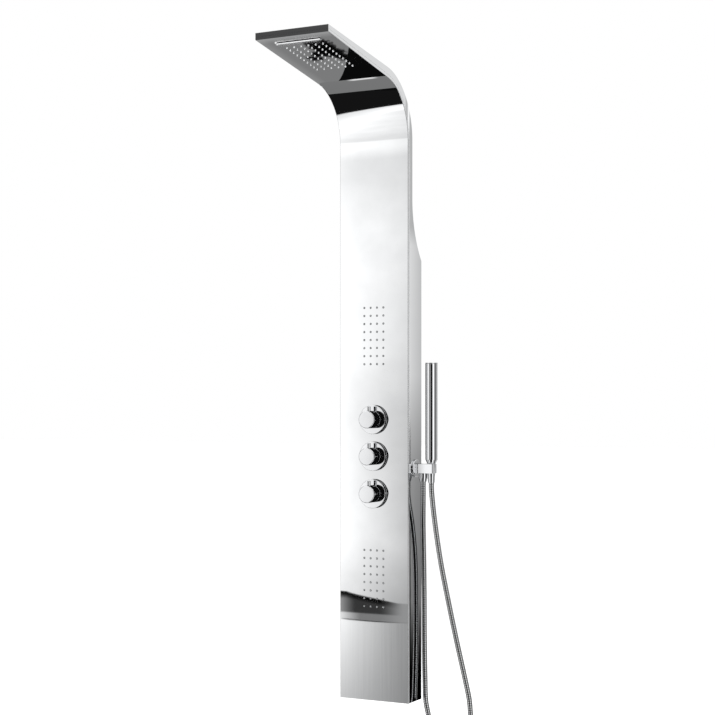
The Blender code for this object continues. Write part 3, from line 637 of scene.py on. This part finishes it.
def prism(outline, start, end, along):
    """A straight extrusion of a flat outline along one axis."""
    bm = bmesh.new()
    near = [bm.verts.new(axis_point(along, a, b, start)) for a, b in outline]
    far = [bm.verts.new(axis_point(along, a, b, end)) for a, b in outline]
    bm.faces.new(near)
    bm.faces.new(far)
    for i in range(len(outline)):
        j = (i + 1) % len(outline)
        bm.faces.new((near[i], near[j], far[j], far[i]))
    return mesh_from(bm)


def box(low, high):
    """A block between two corners."""
    outline = [(low[0], low[1]), (high[0], low[1]), (high[0], high[1]), (low[0], high[1])]
    return prism(outline, low[2], high[2], "Z")


def filleted(outline, radius, steps=4):
    """An outline with each of its corners rounded, except those on the axis."""
    rounded = []
    count = len(outline)
    for i, point in enumerate(outline):
        here = Vector(point)
        before = Vector(outline[i - 1]) - here
        after = Vector(outline[(i + 1) % count]) - here
        turn = math.pi - before.angle(after) if before.length and after.length else 0.0
        if here.x < 1e-9 or turn < 0.2:
            rounded.append(tuple(here))
            continue
        reach = min(radius, 0.45 * before.length, 0.45 * after.length)
        start, end = here + before.normalized() * reach, here + after.normalized() * reach
        for k in range(steps + 1):
            t = k / steps
            rounded.append(tuple(start.lerp(here, t).lerp(here.lerp(end, t), t)))
    return rounded


def turned(profile, along, segments, centre=(0.0, 0.0)):
    """A closed (radius, height) profile turned all the way round an axis."""
    bm = bmesh.new()
    rings = []
    for radius, height in profile:
        angles = [math.pi * (2 * k / segments - 1) for k in range(segments)]
        if radius == 0:
            angles = angles[:1]
        rings.append([
            bm.verts.new(axis_point(
                along, centre[0] + radius * math.cos(t), centre[1] + radius * math.sin(t), height))
            for t in angles
        ])
    for ring, following in zip(rings, rings[1:] + rings[:1]):
        for k in range(segments):
            k2 = (k + 1) % segments
            corners = [ring[k % len(ring)], ring[k2 % len(ring)],
                       following[k2 % len(following)], following[k % len(following)]]
            corners = list(dict.fromkeys(corners))
            if len(corners) > 2:
                bm.faces.new(corners)
    return mesh_from(bm)


def disc(radius, low, high, along, segments, centre=(0.0, 0.0)):
    """A round bar between two heights along an axis."""
    outline = [(centre[0] + radius * math.cos(2 * math.pi * (k + 0.5) / segments),
                centre[1] + radius * math.sin(2 * math.pi * (k + 0.5) / segments))
               for k in range(segments)]
    return prism(outline, low, high, along)


def rounded_rectangle(half_a, half_b, radius, steps=6, centre=(0.0, 0.0)):
    """The outline of a rectangle with round corners."""
    corners = [(1, 1, 0.0), (-1, 1, 0.5), (-1, -1, 1.0), (1, -1, 1.5)]
    outline = []
    for side_a, side_b, turn in corners:
        for k in range(steps + 1):
            t = math.pi * (turn + 0.5 * k / steps)
            outline.append((centre[0] + side_a * (half_a - radius) + radius * math.cos(t),
                            centre[1] + side_b * (half_b - radius) + radius * math.sin(t)))
    return outline


def together(meshes):
    """Several meshes as one, not joined."""
    bm = bmesh.new()
    for mesh in meshes:
        bm.from_mesh(mesh)
    mesh = bpy.data.meshes.new("shapes")
    bm.to_mesh(mesh)
    bm.free()
    return mesh


def combined(mesh, tool, operation):
    """The solid that a boolean operation leaves."""
    base, other = add_object("base", mesh), add_object("tool", tool)
    modifier = base.modifiers.new("boolean", "BOOLEAN")
    modifier.operation = operation
    modifier.object = other
    depsgraph = bpy.context.evaluated_depsgraph_get()
    result = bpy.data.meshes.new_from_object(base.evaluated_get(depsgraph))
    bpy.data.objects.remove(base)
    bpy.data.objects.remove(other)
    return result


def without(mesh, *tools):
    """A mesh with each of the tools cut out of it."""
    for tool in tools:
        mesh = combined(mesh, tool, "DIFFERENCE")
    return mesh


def add_piece(name, mesh, material, node, edge=0.0, angle=35.0):
    """A piece in the panel's frame that stands for a CAD node and rides on its body."""
    mesh.transform(PANEL)
    mesh.materials.clear()
    mesh.materials.append(material)
    for polygon in mesh.polygons:
        polygon.material_index = 0
    obj = add_object(name, mesh)
    mesh.shade_smooth()
    if edge:
        bevel = obj.modifiers.new("edges", "BEVEL")
        bevel.width = edge
        bevel.segments = 2
        bevel.limit_method = "ANGLE"
        bevel.angle_limit = math.radians(angle)
        bevel.use_clamp_overlap = True
    else:
        mesh.set_sharp_from_angle(angle=math.radians(angle))
    weighted = obj.modifiers.new("normals", "WEIGHTED_NORMAL")
    weighted.keep_sharp = True
    weighted.weight = 60
    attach(obj, frame["nodes"][node]["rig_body"])
    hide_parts(node)
    return obj


# Side views, as (Y, Z) outlines

def front_line(offset, base=0.0, front=HEAD_FRONT, steps=56):
    """The front face moved into the panel by offset, from the bottom edge round to the head's lip."""
    points = [(offset, base)]
    for k in range(steps + 1):
        t = HEAD_ANGLE * k / steps
        points.append((-NECK_RADIUS + (NECK_RADIUS + offset) * math.cos(t),
                       NECK_START + (NECK_RADIUS + offset) * math.sin(t)))
    end_y, end_z = points[-1]
    reach = (end_y - front) / math.sin(HEAD_ANGLE)
    points.append((front, end_z + reach * math.cos(HEAD_ANGLE)))
    return points


def back_line(inset, base=0.0, front=HEAD_FRONT, steps=48):
    """The back moved into the panel by inset, from the lip's top edge round to the bottom edge."""
    across = HEAD_FRONT + NECK_RADIUS
    up = LIP_TOP - NECK_START
    angle = math.atan2(-across, up) + math.asin((NECK_RADIUS + SLIM_DEPTH) / math.hypot(across, up))
    radius = NECK_RADIUS + SLIM_DEPTH - inset
    arc = [(-NECK_RADIUS + radius * math.cos(angle * k / steps),
            NECK_START + radius * math.sin(angle * k / steps)) for k in range(steps, -1, -1)]
    reach = (arc[0][0] - front) / math.sin(angle)
    points = [(front, arc[0][1] + reach * math.cos(angle)), *arc]
    flare = FLARE_RADIUS + inset
    flare_centre = SLIM_DEPTH + FLARE_RADIUS
    last = math.acos((flare_centre - CASING_DEPTH + inset) / flare)
    for k in range(17):
        t = last * k / 16
        points.append((flare_centre - flare * math.cos(t), STEP_TOP - flare * math.sin(t)))
    points.append((CASING_DEPTH - inset, base))
    return points


def head_matrix():
    """From the head's frame (X, back along the underside, up into the head) to the panel's frame."""
    y, z = front_line(0.0)[-1]
    return Matrix.Translation((0.0, y, z)) @ Matrix.Rotation(HEAD_ANGLE - math.pi / 2, 4, "X")


def grid(columns, rows, column_pitch, row_pitch, middle):
    """The places of nozzles in columns and rows, as (across, along)."""
    return [((c - (columns - 1) / 2) * column_pitch, middle + (r - (rows - 1) / 2) * row_pitch)
            for c in range(columns) for r in range(rows)]


def panel_box(node):
    """A CAD node's box, in the panel's frame."""
    return [TO_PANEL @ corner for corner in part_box(node)]


def middle_of(node):
    """The middle of a CAD node's box, in the panel's frame."""
    low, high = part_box(node)
    return TO_PANEL @ ((low + high) / 2)


# The shell

def add_front_panel():
    """The folded sheet with its rounded side edges and the holes for nozzles, lip and valves."""
    outline = front_line(0.0) + front_line(RETURN)[::-1]
    bm = bmesh.new()
    bm.from_mesh(prism(outline, -HALF, HALF, "X"))
    face = {(round(y, 5), round(z, 5)) for y, z in front_line(0.0)}
    edges = [edge for edge in bm.edges
             if all((round(v.co.y, 5), round(v.co.z, 5)) in face for v in edge.verts)
             and abs(edge.verts[0].co.x - edge.verts[1].co.x) < 1e-6]
    bmesh.ops.bevel(bm, geom=edges, offset=CORNER, segments=5, profile=0.5, affect="EDGES")
    sheet = mesh_from(bm)
    inside = (front_line(SHEET, SHEET, HEAD_FRONT + SHEET)
              + front_line(RETURN + 0.004, SHEET, HEAD_FRONT + SHEET)[::-1])
    tray = without(sheet, prism(inside, -HALF + SHEET, HALF - SHEET, "X"))
    rain_holes = together([disc(HOLE_RADIUS, -0.002, 0.004, "Z", 20, c) for c in grid(*RAIN, RAIN_CENTRE)])
    slot = prism(rounded_rectangle(SPOUT_LENGTH / 2 + GAP, SPOUT_WIDTH / 2 + GAP, SPOUT_CORNER, 4,
                                   (0.0, SPOUT_CENTRE)), -0.002, 0.004, "Z")
    for cutter in (rain_holes, slot):
        cutter.transform(head_matrix())
    jets = together([disc(HOLE_RADIUS * JET_SCALE, -0.003, 0.003, "Y", 20, c)
                     for name in ("upper_jet_mat", "lower_jet_mat")
                     for c in grid(*JETS, middle_of(name).z)])
    valves = together([disc(VALVE_HOLE, -0.003, 0.003, "Y", 48, (0.0, middle_of(f"{name}_knob").z))
                       for name in VALVES])
    shell = without(tray, rain_holes, slot, jets, valves)
    add_piece("front_skin", shell, polished_steel("polished_front", FACE_Y + 0.0021), "front_panel")


def add_rear_casing():
    """The casing's skin: side walls, back, flare and lower box, open to the wall."""
    outer = prism(front_line(RETURN + GAP) + back_line(0.0), -HALF, HALF, "X")
    inside = front_line(0.004, SHEET, HEAD_FRONT + SHEET) + back_line(SHEET, SHEET, HEAD_FRONT + SHEET)
    inner = prism(inside, -HALF + SHEET, HALF - SHEET, "X")
    wall_opening = box((-HALF + 0.012, 0.070, 0.012), (HALF - 0.012, 0.090, 1.135))
    tail = middle_of("holder_tail")
    tail_hole = disc(0.0105, HALF - 0.005, HALF + 0.005, "X", 40, (tail.y, tail.z))
    add_piece("casing_skin", without(outer, inner, wall_opening, tail_hole),
              polished_steel("polished_casing", haze=0.5), "rear_casing")


# Nozzles

def nozzle(centre, out, along, root, scale):
    """One silicone nozzle: a tapered nub with a round rim and a small bore."""
    radius, tip, reach, bore = 0.0021 * scale, 0.0016 * scale, 0.0022, 0.0006
    profile = [(0.0, root), (radius, root), (tip + 0.0001, reach - 0.0004), (tip - 0.0002, reach - 0.0001),
               (tip - 0.0005, reach), (bore, reach), (bore * 0.8, reach - 0.0012), (0.0, reach - 0.0012)]
    return turned([(r, h * out) for r, h in profile], along, 16, centre)


def add_nozzles(name, node, centres, along, half_width, half_length, middle, matrix, material, scale=1.0):
    """A silicone mat close behind the sheet, with a nozzle through each of its holes."""
    out = -1
    near, far = SHEET + GAP, SHEET + GAP + 0.0015
    outline = rounded_rectangle(half_width, half_length, 0.004, 4, (0.0, middle))
    plate = prism(outline, -near * out, -far * out, along)
    nubs = [nozzle(c, out, along, -near * 0.98, scale) for c in centres]
    mesh = together([plate, *nubs])
    mesh.transform(matrix)
    add_piece(name, mesh, material, node)


def add_all_nozzles():
    """The rain mat in the head and the two mats of body jets."""
    silicone = moulded("pale_silicone", (0.78, 0.79, 0.80), (0.70, 0.71, 0.72), 0.45, 500.0)
    half_rows = RAIN[3] * (RAIN[1] - 1) / 2
    add_nozzles("rain_nozzles", "rain_nozzle_mat", grid(*RAIN, RAIN_CENTRE), "Z", 0.0585,
                half_rows + 0.0095, RAIN_CENTRE, head_matrix(), silicone)
    grey = moulded("grey_silicone", (0.27, 0.275, 0.28), (0.21, 0.215, 0.22), 0.35, 500.0)
    half_rows = JETS[3] * (JETS[1] - 1) / 2
    for group in ("upper", "lower"):
        middle = middle_of(f"{group}_jet_mat").z
        add_nozzles(f"{group}_jet_nozzles", f"{group}_jet_mat", grid(*JETS, middle), "Y", 0.0345,
                    half_rows + 0.0085, middle, Matrix.Identity(4), grey, JET_SCALE)


def add_spout():
    """The waterfall's lip: a proud bar with a sloped front and a slit near its back edge."""
    outline = rounded_rectangle(SPOUT_LENGTH / 2, SPOUT_WIDTH / 2, SPOUT_CORNER, 6, (0.0, SPOUT_CENTRE))
    outer = prism(outline, -SPOUT_PROUD, 0.0040, "Z")
    for vertex in outer.vertices:
        if vertex.co.z < 0.0 and vertex.co.y < SPOUT_CENTRE:
            vertex.co.y += SPOUT_SLOPE
    slit_centre = (0.0, SPOUT_CENTRE + 0.0018)
    slot = prism(rounded_rectangle(SPOUT_LENGTH / 2 - 0.0028, SPOUT_SLIT, 0.0003, 6, slit_centre),
                 -0.010, 0.010, "Z")
    mesh = without(outer, slot)
    mesh.transform(head_matrix())
    add_piece("waterfall_lip", mesh, chrome("chrome_spout"), "waterfall_spout", edge=0.0004)


# Valves

def add_valves():
    """Each valve's rosette, hollow knob and lever peg."""
    finish = chrome("chrome_controls")
    for name in VALVES:
        height = middle_of(f"{name}_knob").z
        centre = (0.0, height)
        cup_low, cup_high = panel_box(f"{name}_escutcheon")
        radius = (cup_high.x - cup_low.x) / 2
        rim = filleted([(VALVE_HOLE, cup_high.y), (radius, cup_high.y), (radius, cup_low.y),
                        (VALVE_HOLE, cup_low.y)], 0.0012, 5)
        add_piece(f"{name}_rosette", turned(rim, "Y", 72, centre), finish, f"{name}_escutcheon")
        low, high = panel_box(f"{name}_knob")
        grip = (high.x - low.x) / 2
        hollow, bore = high.y - KNOB_HOLLOW_DEPTH, low.y + KNOB_BORE_END
        knob = filleted([(0.0, low.y), (grip - KNOB_CHAMFER, low.y), (grip, low.y + KNOB_CHAMFER),
                         (grip, high.y), (KNOB_HOLLOW, high.y), (KNOB_HOLLOW, hollow), (KNOB_BORE, hollow),
                         (KNOB_BORE, bore), (0.0, bore)], 0.0006, 3)
        pin_low, pin_high = panel_box(f"{name}_lever")
        pin = (pin_high.x - pin_low.x) / 2
        depth = (pin_low.y + pin_high.y) / 2
        socket = disc(pin + GAP, pin_low.z - GAP, height + 0.0300, "Z", 24, (0.0, depth))
        add_piece(f"{name}_handle", without(turned(knob, "Y", 72, centre), socket), finish, f"{name}_knob")
        peg = filleted([(0.0, pin_low.z), (pin, pin_low.z), (pin, pin_high.z), (0.0, pin_high.z)], 0.0010, 5)
        add_piece(f"{name}_peg", turned(peg, "Z", 32, (0.0, depth)), finish, f"{name}_lever")


# Hand shower

def quarter(centre, radius, start, steps):
    """A quarter of a circle from an angle, as points of an outline."""
    angles = [math.radians(start) + math.pi / 2 * k / steps for k in range(steps + 1)]
    return [(centre[0] + radius * math.cos(t), centre[1] + radius * math.sin(t)) for t in angles]


def add_holder():
    """The wall flange, the bracket with its open socket, and the hose's outlet nut."""
    finish = chrome("chrome_holder")
    tail = middle_of("holder_tail")
    low, high = panel_box("holder_flange")
    radius = (high.y - low.y) / 2
    hole = 0.0103
    flange = filleted([(hole, low.x), (radius, low.x), (radius, high.x), (hole, high.x)], 0.0012, 5)
    add_piece("wall_flange", turned(flange, "X", 64, (tail.y, tail.z)), finish, "holder_flange")

    low, high = panel_box("holder_arm")
    handset = middle_of("hand_shower_end_cap")
    nut = middle_of("outlet_nut")
    reach = (high.y - low.y) / 2
    underside = tail.z - HOLDER_UNDERSIDE
    end, near, far = handset.x + HOLDER_END, handset.y - reach, handset.y + reach
    front_radius, back_radius = HOLDER_CORNERS
    front = quarter((end - front_radius, near + front_radius), front_radius, -90, 8)
    back = quarter((end - back_radius, far - back_radius), back_radius, 0, 12)
    outline = [(low.x, far), (low.x, near), *front, *back]
    nipple = disc(NIPPLE, low.z, underside + 0.002, "Z", 40, (nut.x, nut.y))
    block = combined(prism(outline, underside, high.z, "Z"), nipple, "UNION")
    below, above = underside - 0.001, high.z + 0.001
    socket = turned([(0.0, below), (0.0101, below), (0.0114, above), (0.0, above)], "Z", 48,
                    (handset.x, handset.y))
    mouth = box((handset.x, handset.y - HOLDER_MOUTH, below),
                (handset.x + 0.030, handset.y + HOLDER_MOUTH, above))
    add_piece("holder_bracket", without(block, socket, mouth), finish, "holder_arm", edge=0.0006)

    low, high = panel_box("outlet_nut")
    top = 0.0115
    profile = filleted([(CONE_BORE, low.z), (CONE_BORE + 0.001, low.z), (top, low.z + 0.009), (top, high.z),
                        (CONE_THREAD, high.z), (CONE_THREAD, 0.5860), (CONE_BORE, 0.5860)], 0.0005, 3)
    add_piece("hose_outlet_nut", turned(profile, "Z", 48, (nut.x, nut.y)), finish, "outlet_nut")


def add_handset():
    """The hand shower's tube with the opening for its spray face, its end cap and the hose's cone nut."""
    finish = chrome("chrome_handset")
    axis = middle_of("hand_shower_end_cap")
    centre = (axis.x, axis.y)
    low, high = panel_box("hand_shower_handle")
    radius = (high.x - low.x) / 2
    neck, neck_foot, neck_top = HANDSET_SHOULDER
    handle = [(0.0050, low.z), (HANDSET_TAIL, low.z), (HANDSET_TAIL, neck_foot), (neck, neck_foot),
              (radius, neck_top), (radius, high.z), (HANDSET_BORE, high.z), (HANDSET_BORE, 0.6440),
              (0.0050, 0.6380)]
    window = box((0.010, -0.0090, SPRAY_WINDOW[0]), (0.020, 0.0090, SPRAY_WINDOW[1]))
    turn = Matrix.Rotation(math.radians(SPRAY_TURN), 4, "Z")
    window.transform(Matrix.Translation((axis.x, axis.y, 0)) @ turn)
    tube = turned(filleted(handle, 0.0008, 3), "Z", 64, centre)
    add_piece("handset_tube", without(tube, window), finish, "hand_shower_handle")

    low, high = panel_box("hand_shower_end_cap")
    plug, rim, shoulder = HANDSET_BORE - GAP, high.z - 0.0021, high.z - 0.0022
    cap = filleted([(0.0, low.z), (plug, low.z), (plug, rim), (radius, shoulder), (radius, high.z),
                    (0.0, high.z)], 0.0008, 4)
    add_piece("handset_cap", turned(cap, "Z", 64, centre), finish, "hand_shower_end_cap")

    low, high = panel_box("hose_cone_nut")
    cone = filleted([(CONE_BORE, low.z), (0.0086, low.z), (0.0110, high.z), (CONE_THREAD, high.z),
                     (CONE_THREAD, 0.5905), (CONE_BORE, 0.5905)], 0.0004, 3)
    add_piece("handset_cone", turned(cone, "Z", 64, centre), finish, "hose_cone_nut")


# The hose

def hose_route():
    """The hose's own points, from the outlet round the loop to the hand shower."""
    return [
        (0.1225, 0.0440, 0.5737), (0.1225, 0.0440, 0.550), (0.1205, 0.0480, 0.515),
        (0.1165, 0.0560, 0.470), (0.1135, 0.0645, 0.410), (0.1122, 0.0700, 0.340),
        (0.1122, 0.0720, 0.262), (0.1128, 0.0720, 0.157), (0.1149, 0.0715, 0.052),
        (0.1172, 0.0710, -0.001), (0.1253, 0.0700, -0.039), (0.1380, 0.0690, -0.092),
        (0.1560, 0.0675, -0.1225), (0.1930, 0.0650, -0.1370), (0.2310, 0.0625, -0.1215),
        (0.2475, 0.0610, -0.0920), (0.2510, 0.0600, -0.0560), (0.2499, 0.0590, -0.0257),
        (0.2470, 0.0580, 0.0131), (0.2365, 0.0560, 0.0642), (0.2127, 0.0535, 0.1663),
        (0.1902, 0.0510, 0.2686), (0.1692, 0.0490, 0.3714), (0.1540, 0.0460, 0.4749),
        (0.1484, 0.0445, 0.5268), (0.1460, 0.0440, 0.5560), (0.1460, 0.0440, 0.5717),
    ]


def smooth_route(points, spacing):
    """Points at even spacing on a centripetal Catmull-Rom curve through a route's own points."""
    route = [Vector(p) for p in points]
    route = [2 * route[0] - route[1], *route, 2 * route[-1] - route[-2]]
    dense = []
    for p0, p1, p2, p3 in zip(route, route[1:], route[2:], route[3:]):
        t1 = math.sqrt((p1 - p0).length)
        t2 = t1 + math.sqrt((p2 - p1).length)
        t3 = t2 + math.sqrt((p3 - p2).length)
        for k in range(24):
            t = t1 + (t2 - t1) * k / 24
            a1 = p0.lerp(p1, t / t1)
            a2 = p1.lerp(p2, (t - t1) / (t2 - t1))
            a3 = p2.lerp(p3, (t - t2) / (t3 - t2))
            b1 = a1.lerp(a2, t / t2)
            b2 = a2.lerp(a3, (t - t1) / (t3 - t1))
            dense.append(b1.lerp(b2, (t - t1) / (t2 - t1)))
    dense.append(route[-2])
    line = np.array(dense)
    travelled = np.concatenate(([0.0], np.cumsum(np.linalg.norm(np.diff(line, axis=0), axis=1))))
    stops = np.linspace(0.0, travelled[-1], max(2, round(travelled[-1] / spacing)) + 1)
    return [Vector(np.interp(s, travelled, line[:, axis]) for axis in range(3)) for s in stops]


def ribbed_tube(line, radius, sides, groove):
    """A tube along a line whose radius follows the ribs of an interlocked metal hose.

    Its "groove" attribute is 1 at the bottom of a groove and 0 on a rib. The hose's material uses it as the
    mask for shade painted into the grooves.
    """
    depths = [part * groove for part in RIB_PROFILE]
    bm = bmesh.new()
    tangent = (line[1] - line[0]).normalized()
    side = tangent.orthogonal().normalized()
    rings = []
    for i, point in enumerate(line):
        ahead = (line[min(i + 1, len(line) - 1)] - line[max(i - 1, 0)]).normalized()
        side = (tangent.rotation_difference(ahead) @ side).normalized()
        tangent = ahead
        other = tangent.cross(side)
        size = radius - depths[i % RIB_RINGS]
        rings.append([bm.verts.new(point + size * (math.cos(t) * side + math.sin(t) * other))
                      for t in (2 * math.pi * k / sides for k in range(sides))])
    for ring, following in zip(rings, rings[1:]):
        for k in range(sides):
            k2 = (k + 1) % sides
            bm.faces.new((ring[k], ring[k2], following[k2], following[k]))
    bm.faces.new(rings[0])
    bm.faces.new(rings[-1])
    mesh = mesh_from(bm)
    # the mask for the painted shade in the grooves
    shade = [RIB_PROFILE[i % RIB_RINGS] for i in range(len(line)) for _ in range(sides)]
    mesh.attributes.new("groove", "FLOAT", "POINT").data.foreach_set("value", shade)
    return mesh


def hose_steel(name):
    """Bright strip-wound steel, with shade painted into the grooves as a near-black colour."""
    material, graph, shader, place = new_material(name)
    grime = graph.noise(place, 70.0, 4.0, 0.6)
    groove = graph.add("Attribute", attribute_name="groove").outputs["Fac"]
    steel = graph.mix_colour(grime, (0.60, 0.605, 0.61), (0.76, 0.765, 0.77))
    # painted shade: the colour turns near-black in the grooves, where shade falls
    tone = graph.mix_colour(graph.remap(groove, 0.1, 0.8), steel, (0.07, 0.07, 0.072))
    finish_surface(graph, shader, tone, graph.remap(grime, 0.3, 0.7, 0.09, 0.05))
    return material


def add_hose():
    """The hose, from the outlet to the hand shower."""
    line = [PANEL @ p for p in smooth_route(hose_route(), RIB_PITCH / RIB_RINGS)]
    mesh = ribbed_tube(line, HOSE_RADIUS, HOSE_SIDES, RIB_DEPTH)
    mesh.materials.append(hose_steel("hose_strip"))
    mesh.shade_smooth()
    mesh.set_sharp_from_angle(angle=math.radians(30))
    hose = add_object("metal_hose", mesh)
    tuple(line[0])
    tuple(line[-1])
    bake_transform(hose)
    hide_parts("shower_hose")
    tuple(line[0])
    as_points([tuple(p) for p in line[::2 * RIB_RINGS]] + [tuple(line[-1])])


# CAD nodes that stay

def dress_cad_nodes():
    """Finishes for the CAD nodes that keep their shape."""
    brass = raw_metal("turned_brass", (0.80, 0.62, 0.32), (0.62, 0.44, 0.20), 0.22, 45.0)
    cast = raw_metal("cast_brass", (0.70, 0.54, 0.30), (0.52, 0.38, 0.18), 0.40, 90.0, depth=0.0002)
    copper = raw_metal("drawn_copper", (0.86, 0.52, 0.36), (0.58, 0.30, 0.18), 0.22, 30.0, (1.0, 1.0, 0.05))
    zinc = raw_metal("zinc_plate", (0.74, 0.76, 0.78), (0.52, 0.54, 0.57), 0.30, 120.0)
    black = moulded("black_polymer", (0.045, 0.045, 0.048), (0.030, 0.030, 0.032), 0.40)
    bright = chrome("chrome_trim")
    finishes = {"brass": brass, "copper": copper, "zinc_steel": zinc, "plastic": black, "chrome": bright}
    for name, obj in frame["nodes"].items():
        if obj.hide_render:
            continue
        finish = cast if name == "valve_manifold" else finishes[SLOTS[name]]
        for slot in obj.material_slots:
            slot.material = finish


make_camera()
add_holder()
add_handset()
add_hose()
add_front_panel()
add_rear_casing()
add_all_nozzles()
add_spout()
add_valves()
dress_cad_nodes()
make_world()
make_mirror_cards()
# a painted reflection and highlight on the neck, from a glowing card just in front of it
make_painted_neck_reflection()
make_holder_card()
make_floor()
make_lights()
bpy.context.scene.view_settings.view_transform = "Standard"
